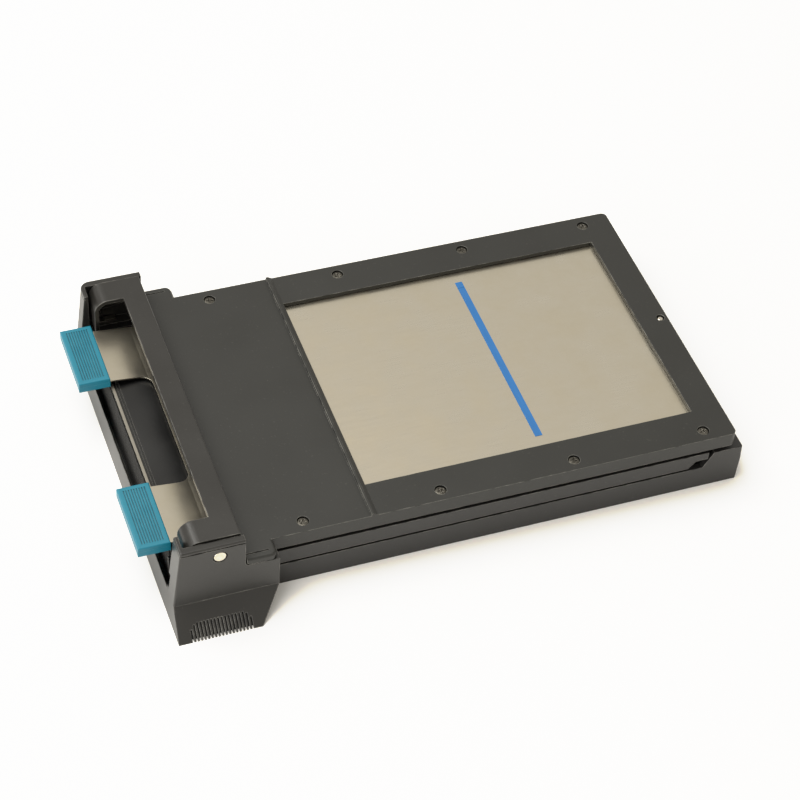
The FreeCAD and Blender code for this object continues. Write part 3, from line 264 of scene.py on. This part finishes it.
# ABS, injection moulded, smoother: the handled end is a little glossier, with edges painted paler as finger
# wear and painted highlight.
housing_abs = plastic("abs_moulded_satin_housing", "#1f1e1c", "#908e87", 0.31, grain_depth=0.006,
                      edge_mm=0.45, rub_and_highlight=0.8)
# ABS, injection moulded: the frame and rear shell, with a matt grain.
body_abs = plastic("abs_moulded_matt_body", "#1b1a19", "#908e86", 0.42)
# ABS dyed teal through, injection moulded: satin, with painted shade darkening the grooves.
grip_abs = plastic("abs_moulded_dyed_teal", "#066377", "#5fa5b2", 0.42, grain_depth=0.008, rub_and_highlight=0.4,
                   edge_mm=0.25, painted_shade_colour="#06303a", painted_shade_mm=0.6)
# Stainless steel, cold rolled: a warm satin mirror with soft handling stains.
blade_steel = steel("stainless_steel_cold_rolled", "#cdc7b8", "#c3bba8", 0.3)
# Stainless steel, turned: bright pin heads.
pin_steel = steel("stainless_steel_turned", "#d4cfc4", "#b9b2a4", 0.24, pull=(0.6, 0.6), patch_mm=2)
# Spring steel strip, bright rolled.
spring_steel = steel("spring_steel_bright_strip", "#a8a49b", "#8d887c", 0.32, pull=(0.25, 12))
# Carbon steel, nickel plated: shell and rail screws.
plated_steel = steel("steel_nickel_plated", "#cfcbc4", "#b4aea2", 0.22, patch_mm=3)
# Carbon steel, black oxide: dark screw heads, a little paler in patches.
oxide_steel = steel("steel_black_oxide", "#4a4843", "#6a6760", 0.36, patch_mm=1.2, pull=(0.8, 0.8))
# Aluminium sheet, stoved black enamel.
enamel_sheet = enamelled_sheet("sheet_metal_black_enamel", "#080808", "#8a8881", 0.34)
# Cotton velvet: the light seal.
velvet_pile = pile("cotton_velvet_woven", "#141312", "#3a3935", 0.35, 0.12, 0.5)
# Wool felt, needled: a shaggy strip with pale fibre ends.
felt_pile = pile("wool_felt_needled", "#0b0a09", "#5f5c55", 0.5, 0.5, 0.5, sheen=0.0)
# Vinyl tape, calendered.
vinyl_tape = tape("vinyl_tape_calendered", "#1b5a94", "#2666a2", 0.35)

FINISHES = {
    plate_abs: ["front_plate"],
    housing_abs: ["end_housing", "lock_bail"],
    body_abs: ["chassis_frame", "rear_shell", "film_gate", "side_rail_near", "side_rail_far"],
    grip_abs: ["grip_top_near", "grip_top_far", "grip_bottom_near", "grip_bottom_far"],
    blade_steel: ["slide_blade"],
    pin_steel: ["locating_pin", "bail_pin_near", "bail_pin_far", "drawer_stop_near", "drawer_stop_far",
                "grip_rivets"],
    spring_steel: ["pressure_spring_near", "pressure_spring_far", "bail_spring_near", "bail_spring_far",
                   "sheath_catch_near", "sheath_catch_far", "cover_hem"],
    plated_steel: ["shell_screws", "tray_screws", "rail_screws"],
    oxide_steel: ["cover_screws"],
    enamel_sheet: ["drawer_cover", "drawer_tray", "pressure_plate",
                   *(f"film_sheath_{i}" for i in range(1, 9))],
    velvet_pile: ["front_velvet", "rear_velvet"],
    felt_pile: ["end_felt"],
    vinyl_tape: ["marker_strip", "marker_tip"],
}
for finish, names in FINISHES.items():
    for name in names:
        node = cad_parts[name]
        node.data.materials.clear()
        node.data.materials.append(finish)


# ---------------------------------------------------------------- new pieces

def revolved(profile, places, sides, dent):
    """Closed shells turned about upright axes: profile lists (radius, height) from the top centre down to
    the bottom centre, and dent(along, across, height) is how far a point sinks."""
    shells = []
    angle = np.linspace(0, 2 * math.pi, sides, endpoint=False)[None, :]
    radius = np.array([r for r, _ in profile])[:, None]
    height = np.array([z for _, z in profile])[:, None]
    x, y = radius * np.cos(angle), radius * np.sin(angle)
    for at_x, at_y, turn in places:
        along = x * math.cos(turn) + y * math.sin(turn)
        across = y * math.cos(turn) - x * math.sin(turn)
        z = height - dent(along, across, height)
        shells.append(closed_grid(np.stack([x + at_x, y + at_y, z], -1)[:, ::-1]))
    return shells


def screw_head_shells():
    """Cover screws: a low dome that falls with the square of the distance from its axis, a crossed driver
    recess that narrows with depth, a flat underside and a plain shank."""
    low, high = (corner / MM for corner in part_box("cover_screws"))
    head_low = high.z - SCREW_HEAD_HEIGHT
    profile = [(r, high.z - 0.18 * (r / SCREW_HEAD) ** 2) for r in np.linspace(0, SCREW_HEAD - 0.12, 26)]
    profile += [(SCREW_HEAD - 0.03, high.z - 0.24), (SCREW_HEAD, high.z - 0.34), (SCREW_HEAD, head_low),
                (SCREW_SHANK, head_low), (SCREW_SHANK, low.z), (0.0, low.z)]

    def recess(along, across, height):
        """Two crossed arms 0.5 mm deep, with sloping sides and ends."""
        reach = np.hypot(along, across)
        narrow = np.minimum(abs(along), abs(across))
        arm = np.clip((0.34 - narrow) / 0.14, 0, 1) * np.clip((1.2 - reach) / 0.2, 0, 1)
        return 0.5 * arm * (height > head_low + 0.4)

    first, last = low.x + SCREW_HEAD, high.x - SCREW_HEAD
    side = high.y - SCREW_HEAD
    spots = []
    for i in range(SCREW_ROWS):
        along = first + (last - first) * i / (SCREW_ROWS - 1)
        spots += [(along, sign * side, 0.35 + 0.9 * i + sign) for sign in (-1, 1)]
    return revolved(profile, spots, sides=64, dent=recess)


def felt_shell():
    """The felt strip: a rounded box section carried along Y and drawn in at both ends. A sum of short
    waves of unlike lengths makes the section taller and shorter, so the top edge is shaggy."""
    low, high = (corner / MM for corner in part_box("end_felt"))
    rows = np.linspace(low.y, high.y, 420)[:, None]
    turn = np.linspace(0, 2 * math.pi, 40, endpoint=False)[None, :]
    middle, half = (low + high) / 2, (high - low) / 2
    squareness = 0.3
    x = np.sign(np.cos(turn)) * abs(np.cos(turn)) ** squareness
    z = np.sign(np.sin(turn)) * abs(np.sin(turn)) ** squareness
    waves = np.zeros((len(rows), turn.shape[1]))
    rng = np.random.default_rng(4)
    for length in (0.5, 0.7, 1.1, 1.7, 2.9, 7.3):
        phase, around = rng.uniform(0, 2 * math.pi), rng.integers(1, 6)
        waves += np.sin(2 * math.pi * rows / length + around * turn + phase) * length ** 0.3
    waves *= 0.05
    inner = np.clip(np.minimum(rows - low.y, high.y - rows), 0, 1) ** 0.5
    x = middle.x + (half.x + 0.3 * waves) * x * inner
    z = middle.z + (half.z + waves) * z * inner
    points = np.stack([x, rows + 0 * turn, z], -1)
    return closed_grid(points[:, ::-1])


mesh_piece("screw_heads", screw_head_shells(), oxide_steel, "holder_body", "cover_screws")
mesh_piece("felt_strip", [felt_shell()], felt_pile, "film_drawer", "end_felt")


# ---------------------------------------------------------------- floor, light and camera

def area_light(name, place, size, watts, colour):
    """A square soft light at place, turned towards the origin."""
    lamp = bpy.data.lights.new(name, "AREA")
    lamp.shape, lamp.size, lamp.energy, lamp.color = "SQUARE", size, watts, tone(colour)[:3]
    holder = bpy.data.objects.new(name, lamp)
    holder.location = place
    holder.rotation_mode = "QUATERNION"
    holder.rotation_quaternion = (-Vector(place)).to_track_quat("-Z", "Y")
    bpy.context.scene.collection.objects.link(holder)


def pale_floor(half):
    """A flat square just under the object, in a matt near-white."""
    material, tree, place = begin("painted_board_matt_white")
    mottle = add(tree, "TexNoise", {"Vector": place, "Scale": per_mm(300), "Detail": 2.0}).outputs["Fac"]
    base = blend(tree, mottle, tone("#f4f3f0"), tone("#f7f6f4"))
    finish_with(tree, Base_Color=base, Roughness=0.8, IOR=1.3)
    mesh = bpy.data.meshes.new("floor")
    level = cad_box[0].z - FLOOR_DROP * MM
    corners = [(-half, -half, level), (half, -half, level), (half, half, level), (-half, half, level)]
    mesh.from_pydata(corners, [], [(0, 1, 2, 3)])
    mesh.materials.append(material)
    floor = bpy.data.objects.new("floor", mesh)
    bpy.context.scene.collection.objects.link(floor)


pale_floor(3.0)
area_light("key", (-0.55, 0.35, 1.4), 1.1, 26, "#fffdf8")
area_light("left_fill", (-1.2, -0.9, 0.45), 0.9, 11, "#ffffff")

world = bpy.data.worlds.new("studio")
world.use_nodes = True
world.node_tree.nodes["Background"].inputs["Color"].default_value = tone("#fffaf0")
world.node_tree.nodes["Background"].inputs["Strength"].default_value = 0.75
bpy.context.scene.world = world

lens = bpy.data.cameras.new("camera")
lens.lens, lens.sensor_width = 108.13, 36.0
lens.clip_start, lens.clip_end = 0.05, 20.0
camera = bpy.data.objects.new("camera", lens)
camera.location = (-0.22788, -0.55186, 0.62586)
camera.rotation_mode = "QUATERNION"
camera.rotation_quaternion = (Vector((0.26783, 0.64349, -0.71707)).to_track_quat("-Z", "Y")
                              @ Quaternion((0, 0, 1), math.radians(4.517)))
bpy.context.scene.collection.objects.link(camera)
bpy.context.scene.camera = camera

# A film-like shoulder: the picture is nearly straight up to the mid tones and then rolls off.
view = bpy.context.scene.view_settings
view.view_transform = "Standard"
view.use_curve_mapping = True
curve = view.curve_mapping
curve.white_level = (BRIGHTEST, BRIGHTEST, BRIGHTEST)
shoulder = curve.curves[3]
shoulder.points[-1].location = (1.0, 0.985)
for before, after in ((0.15, 0.15 * BRIGHTEST), (0.3, 0.3 * BRIGHTEST), (0.42, 0.86), (0.62, 0.955)):
    shoulder.points.new(before, after)
curve.update()
